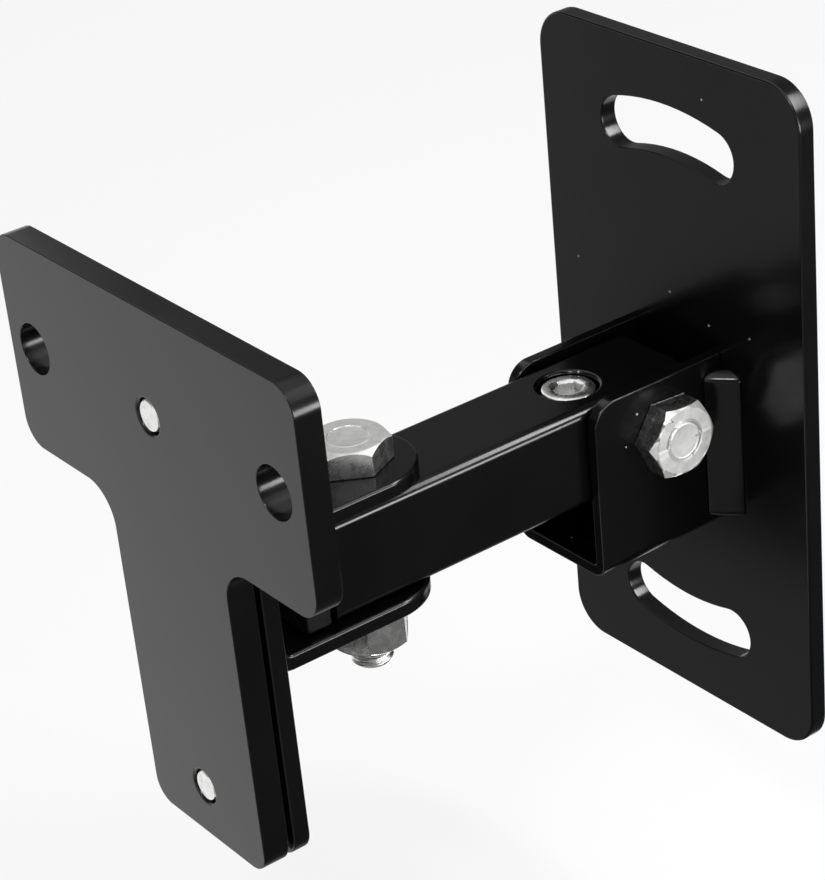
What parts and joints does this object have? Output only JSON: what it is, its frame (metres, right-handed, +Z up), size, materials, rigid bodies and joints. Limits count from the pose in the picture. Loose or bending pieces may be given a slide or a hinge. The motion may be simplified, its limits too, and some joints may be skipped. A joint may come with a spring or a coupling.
{
  "type": "speaker wall bracket",
  "caption": "Steel wall bracket for a loudspeaker: slotted wall plate, tilting square arm and a swivelling yoke that carries a T-shaped speaker plate.",
  "frame": {"origin": "centre of the wall plate's back face", "axes": "+Z up, +Y into the wall, +X to the right as seen from the room; neutral pose with the arm level"},
  "size_m": [0.1138, 0.148, 0.171],
  "materials": {
    "black_paint": "semi-gloss powder coat",
    "zinc_plate": "bright zinc plate",
    "plain_steel": "plain turned steel",
    "black_plastic": "satin moulded"
  },
  "bodies": {
    "wall_side": {"wall_plate": "black_paint", "wall_channel": "black_paint", "channel_weld_left": "black_paint", "channel_weld_right": "black_paint", "tilt_bolt": "zinc_plate", "tilt_nut": "zinc_plate"},
    "arm": {"arm_tube": "black_paint", "tilt_sleeve": "plain_steel", "pan_sleeve": "plain_steel", "arm_screw_bush": "plain_steel", "arm_socket_screw": "zinc_plate", "arm_end_cap": "black_plastic"},
    "head": {"yoke": "black_paint", "pan_bolt": "zinc_plate", "pan_washer": "zinc_plate", "pan_nut": "zinc_plate", "yoke_weld_left": "black_paint", "yoke_weld_right": "black_paint", "backing_strip": "black_paint", "adapter_plate": "black_paint", "plate_screw_upper": "zinc_plate", "plate_screw_lower": "zinc_plate"}
  },
  "joints": [
    {"name": "arm_tilt", "type": "hinge", "parent": "wall_side", "child": "arm", "pos_m": [0, -0.022, 0], "axis": [-1, 0, 0], "range_deg": [-32, 25]},
    {"name": "head_pan", "type": "hinge", "parent": "arm", "child": "head", "pos_m": [0, -0.0995, 0], "axis": [0, 0, 1], "range_deg": [-90, 90]}
  ]
}
